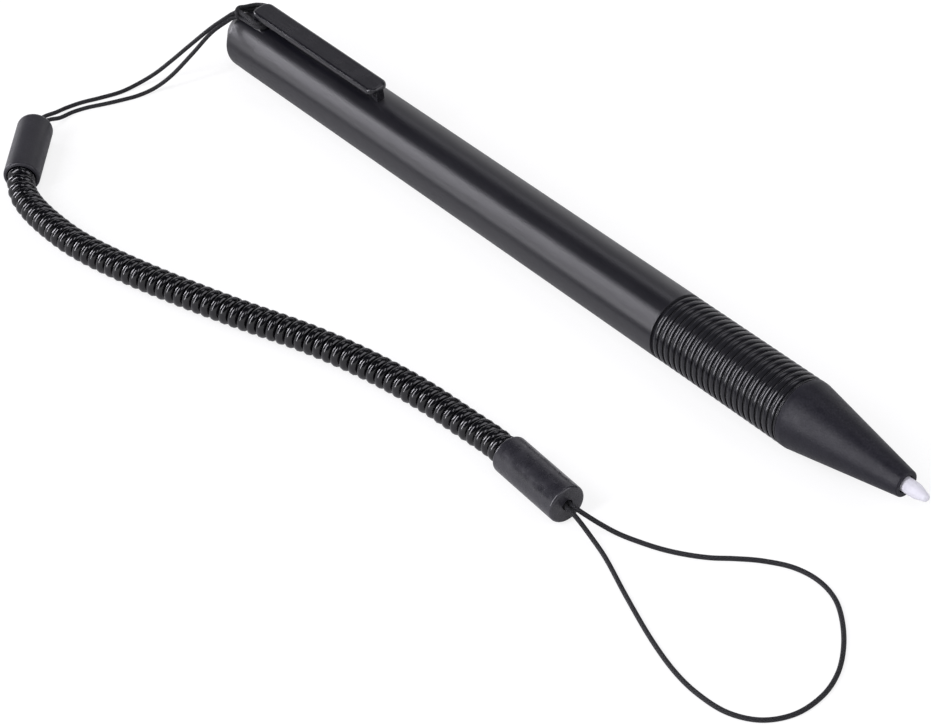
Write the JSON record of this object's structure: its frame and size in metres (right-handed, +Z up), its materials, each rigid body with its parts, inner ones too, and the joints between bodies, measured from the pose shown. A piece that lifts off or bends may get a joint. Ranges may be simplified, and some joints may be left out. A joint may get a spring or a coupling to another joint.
{
  "type": "tethered stylus pen",
  "caption": "Black stylus pen with a ribbed grip, a white nib, a pocket clip and a coiled tether that ends in a thin cord loop.",
  "frame": {"origin": "On the surface that the pen lies on, under the middle of its length from rear end to nib tip.", "axes": "+X along the pen towards its nib, +Z up through the pocket clip, +Y away from the side on which the tether lies."},
  "size_m": [0.1512, 0.0485, 0.0115],
  "materials": {
    "barrel": "semi-gloss moulded black plastic",
    "clip": "satin black plastic with fine lengthwise brushing",
    "core": "plain dark moulded plastic",
    "grip": "glossy black ribs",
    "nose": "satin black plastic with a fine spark texture",
    "nib": "milky white acetal",
    "cord": "tightly braided black polyester cord",
    "sleeve": "matt charcoal rubber",
    "crimp": "plain crimped aluminium",
    "coil": "glossy black polyurethane jacket"
  },
  "bodies": {
    "pen": {"barrel": "barrel", "rear_cap": "barrel", "core_tube": "core", "grip_sleeve": "grip", "pen_cord_rear": "cord", "pen_cord_front": "cord", "cord_hitch": "cord", "pen_sleeve": "sleeve", "pen_crimp": "crimp", "coil_cord": "coil", "device_sleeve": "sleeve", "device_crimp": "crimp", "device_cord": "cord"},
    "clip": {"pocket_clip": "clip"},
    "nose": {"nose_cone": "nose", "nib_holder": "core"},
    "nib": {"nib": "nib"}
  },
  "joints": [
    {"name": "clip_flex", "type": "hinge", "parent": "pen", "child": "clip", "pos_m": [-0.0599, 0, 0.0106], "axis": [0, -1, 0], "range_deg": [0, 6], "stiffness_Nm_per_rad": 0.5},
    {"name": "nose_pull", "type": "slide", "parent": "pen", "child": "nose", "axis": [1, 0, 0], "range_m": [0, 0.012]},
    {"name": "nib_pull", "type": "slide", "parent": "nose", "child": "nib", "axis": [1, 0, 0], "range_m": [0, 0.01]}
  ]
}
